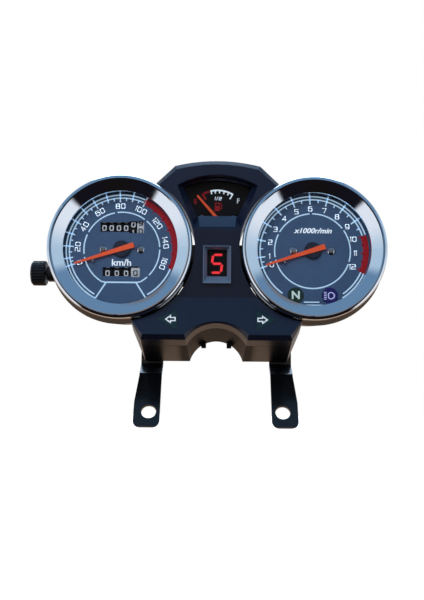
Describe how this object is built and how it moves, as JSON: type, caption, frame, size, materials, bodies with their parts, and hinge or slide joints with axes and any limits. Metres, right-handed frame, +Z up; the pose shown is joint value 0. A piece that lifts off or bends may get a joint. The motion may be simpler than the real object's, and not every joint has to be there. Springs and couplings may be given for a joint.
{
  "type": "motorcycle instrument cluster",
  "caption": "Twin-dial motorcycle instrument cluster: speedometer with counters, tachometer, fuel gauge, gear display and indicator lamps in a three-part housing on a bent steel bracket.",
  "frame": {"origin": "midway between the two bracket holes, on the under side of the bracket tabs", "axes": "+X towards the rider's right, +Z up the dial faces, and the dials face -Y; the tabs lean 29 degrees towards the rider"},
  "size_m": [0.2514, 0.0693, 0.1855],
  "materials": {
    "case_plastic": "fine-textured moulded black",
    "fascia_plastic": "satin blue-black moulding",
    "chrome": "polished chrome",
    "clear_glass": "clear flat glass",
    "seal_rubber": "matte black",
    "dial_paint": "matte slate blue",
    "dark_screw": "black oxide",
    "pointer_orange": "fluorescent orange",
    "hub_black": "satin black",
    "die_cast": "as cast",
    "spindle_metal": "turned",
    "bright_steel": "zinc plated",
    "magnet": "sintered dark grey",
    "nipple_brass": "nickel-washed brass",
    "drum_black": "satin black",
    "drum_white": "satin white",
    "knob_plastic": "ribbed black",
    "board_green": "solder-masked laminate",
    "smoked_window": "smoked clear",
    "gauge_face": "matte black",
    "bezel_silver": "silver-grey paint",
    "turn_green": "dark green translucent",
    "neutral_green": "green translucent",
    "beam_blue": "navy translucent",
    "bulb_glass": "clear",
    "bracket_paint": "gloss black"
  },
  "bodies": {
    "housing": {"bracket_dampers": "seal_rubber", "bracket_nuts": "bright_steel", "bulb_sockets": "seal_rubber", "cable_nipple": "nipple_brass", "case_screws": "bright_steel", "centre_case": "case_plastic", "centre_circuit_board": "board_green", "centre_fascia": "fascia_plastic", "dial_screws": "dark_screw", "fuel_gauge_dial": "gauge_face", "fuel_gauge_lens": "smoked_window", "fuel_gauge_movement": "hub_black", "fuel_pointer_cover": "fascia_plastic", "gear_display_bezel": "bezel_silver", "gear_display_lens": "smoked_window", "gear_display_module": "hub_black", "harness_grommets": "seal_rubber", "high_beam_lamp_lens": "beam_blue", "indicator_bulbs": "bulb_glass", "left_turn_lens": "turn_green", "mounting_bracket": "bracket_paint", "neutral_lamp_lens": "neutral_green", "odometer_shaft": "bright_steel", "pointer_stop_pins": "dark_screw", "right_turn_lens": "turn_green", "speedometer_bezel_ring": "chrome", "speedometer_case": "case_plastic", "speedometer_dial": "dial_paint", "speedometer_frame": "die_cast", "speedometer_lens": "clear_glass", "speedometer_lens_seal": "seal_rubber", "tachometer_bezel_ring": "chrome", "tachometer_case": "case_plastic", "tachometer_circuit_board": "board_green", "tachometer_dial": "dial_paint", "tachometer_lens": "clear_glass", "tachometer_lens_seal": "seal_rubber", "tachometer_movement": "bright_steel", "trip_knob_seal": "seal_rubber"},
    "speedometer_pointer": {"speedometer_pointer": "pointer_orange", "speedometer_pointer_hub": "hub_black", "speedometer_spindle": "spindle_metal"},
    "tachometer_pointer": {"tachometer_pointer": "pointer_orange", "tachometer_pointer_hub": "hub_black", "tachometer_spindle": "bright_steel"},
    "fuel_pointer": {"fuel_pointer": "pointer_orange"},
    "trip_reset": {"trip_reset_knob": "knob_plastic", "trip_shaft": "bright_steel"},
    "speedometer_drive": {"speedometer_magnet": "magnet"},
    "odometer_tenths": {"odometer_drum_tenths": "drum_white"},
    "odometer_units": {"odometer_drum_units": "drum_black"},
    "odometer_tens": {"odometer_drum_tens": "drum_black"},
    "odometer_hundreds": {"odometer_drum_hundreds": "drum_black"},
    "odometer_thousands": {"odometer_drum_thousands": "drum_black"},
    "odometer_ten_thousands": {"odometer_drum_ten_thousands": "drum_black"},
    "trip_tenths": {"trip_drum_tenths": "drum_white"},
    "trip_units": {"trip_drum_units": "drum_black"},
    "trip_tens": {"trip_drum_tens": "drum_black"},
    "trip_hundreds": {"trip_drum_hundreds": "drum_black"}
  },
  "joints": [
    {"name": "speedometer_pointer_turn", "type": "hinge", "parent": "housing", "child": "speedometer_pointer", "pos_m": [-0.0669, -0.021, 0.1137], "axis": [0, 1, 0], "range_deg": [0, 218], "stiffness_Nm_per_rad": 0.0001, "springref_deg": -22.92},
    {"name": "tachometer_pointer_turn", "type": "hinge", "parent": "housing", "child": "tachometer_pointer", "pos_m": [0.0669, -0.021, 0.1137], "axis": [0, 1, 0], "range_deg": [0, 220], "stiffness_Nm_per_rad": 0.0001, "springref_deg": -22.92},
    {"name": "fuel_pointer_turn", "type": "hinge", "parent": "housing", "child": "fuel_pointer", "pos_m": [0, -0.0197, 0.136], "axis": [0, 1, 0], "range_deg": [0, 72], "stiffness_Nm_per_rad": 0.00002, "springref_deg": -22.92},
    {"name": "trip_reset_turn", "type": "hinge", "parent": "housing", "child": "trip_reset", "pos_m": [-0.1313, -0.0077, 0.0978], "axis": [1, 0, 0], "continuous": true},
    {"name": "trip_tenths_roll", "type": "hinge", "parent": "housing", "child": "trip_tenths", "pos_m": [-0.05715, -0.0077, 0.0978], "axis": [1, 0, 0], "continuous": true},
    {"name": "trip_units_roll", "type": "hinge", "parent": "housing", "child": "trip_units", "pos_m": [-0.06365, -0.0077, 0.0978], "axis": [1, 0, 0], "continuous": true},
    {"name": "trip_tens_roll", "type": "hinge", "parent": "housing", "child": "trip_tens", "pos_m": [-0.07015, -0.0077, 0.0978], "axis": [1, 0, 0], "continuous": true},
    {"name": "trip_hundreds_roll", "type": "hinge", "parent": "housing", "child": "trip_hundreds", "pos_m": [-0.07665, -0.0077, 0.0978], "axis": [1, 0, 0], "continuous": true},
    {"name": "odometer_tenths_roll", "type": "hinge", "parent": "housing", "child": "odometer_tenths", "pos_m": [-0.05415, -0.0077, 0.1296], "axis": [-1, 0, 0], "continuous": true},
    {"name": "odometer_units_roll", "type": "hinge", "parent": "housing", "child": "odometer_units", "pos_m": [-0.05925, -0.0077, 0.1296], "axis": [-1, 0, 0], "continuous": true},
    {"name": "odometer_tens_roll", "type": "hinge", "parent": "housing", "child": "odometer_tens", "pos_m": [-0.06435, -0.0077, 0.1296], "axis": [-1, 0, 0], "continuous": true},
    {"name": "odometer_hundreds_roll", "type": "hinge", "parent": "housing", "child": "odometer_hundreds", "pos_m": [-0.06945, -0.0077, 0.1296], "axis": [-1, 0, 0], "continuous": true},
    {"name": "odometer_thousands_roll", "type": "hinge", "parent": "housing", "child": "odometer_thousands", "pos_m": [-0.07455, -0.0077, 0.1296], "axis": [-1, 0, 0], "continuous": true},
    {"name": "odometer_ten_thousands_roll", "type": "hinge", "parent": "housing", "child": "odometer_ten_thousands", "pos_m": [-0.07965, -0.0077, 0.1296], "axis": [-1, 0, 0], "continuous": true},
    {"name": "cable_drive_turn", "type": "hinge", "parent": "housing", "child": "speedometer_drive", "pos_m": [-0.0669, 0.0128, 0.1137], "axis": [0, 1, 0], "continuous": true}
  ],
  "couplings": [
    {"joint": "trip_tenths_roll", "follows": "trip_reset_turn", "ratio": 1},
    {"joint": "trip_units_roll", "follows": "trip_reset_turn", "ratio": 1},
    {"joint": "trip_tens_roll", "follows": "trip_reset_turn", "ratio": 1},
    {"joint": "trip_hundreds_roll", "follows": "trip_reset_turn", "ratio": 1},
    {"joint": "odometer_units_roll", "follows": "odometer_tenths_roll", "ratio": 0.1},
    {"joint": "odometer_tens_roll", "follows": "odometer_tenths_roll", "ratio": 0.01},
    {"joint": "odometer_hundreds_roll", "follows": "odometer_tenths_roll", "ratio": 0.001},
    {"joint": "odometer_thousands_roll", "follows": "odometer_tenths_roll", "ratio": 0.0001},
    {"joint": "odometer_ten_thousands_roll", "follows": "odometer_tenths_roll", "ratio": 0.00001}
  ]
}
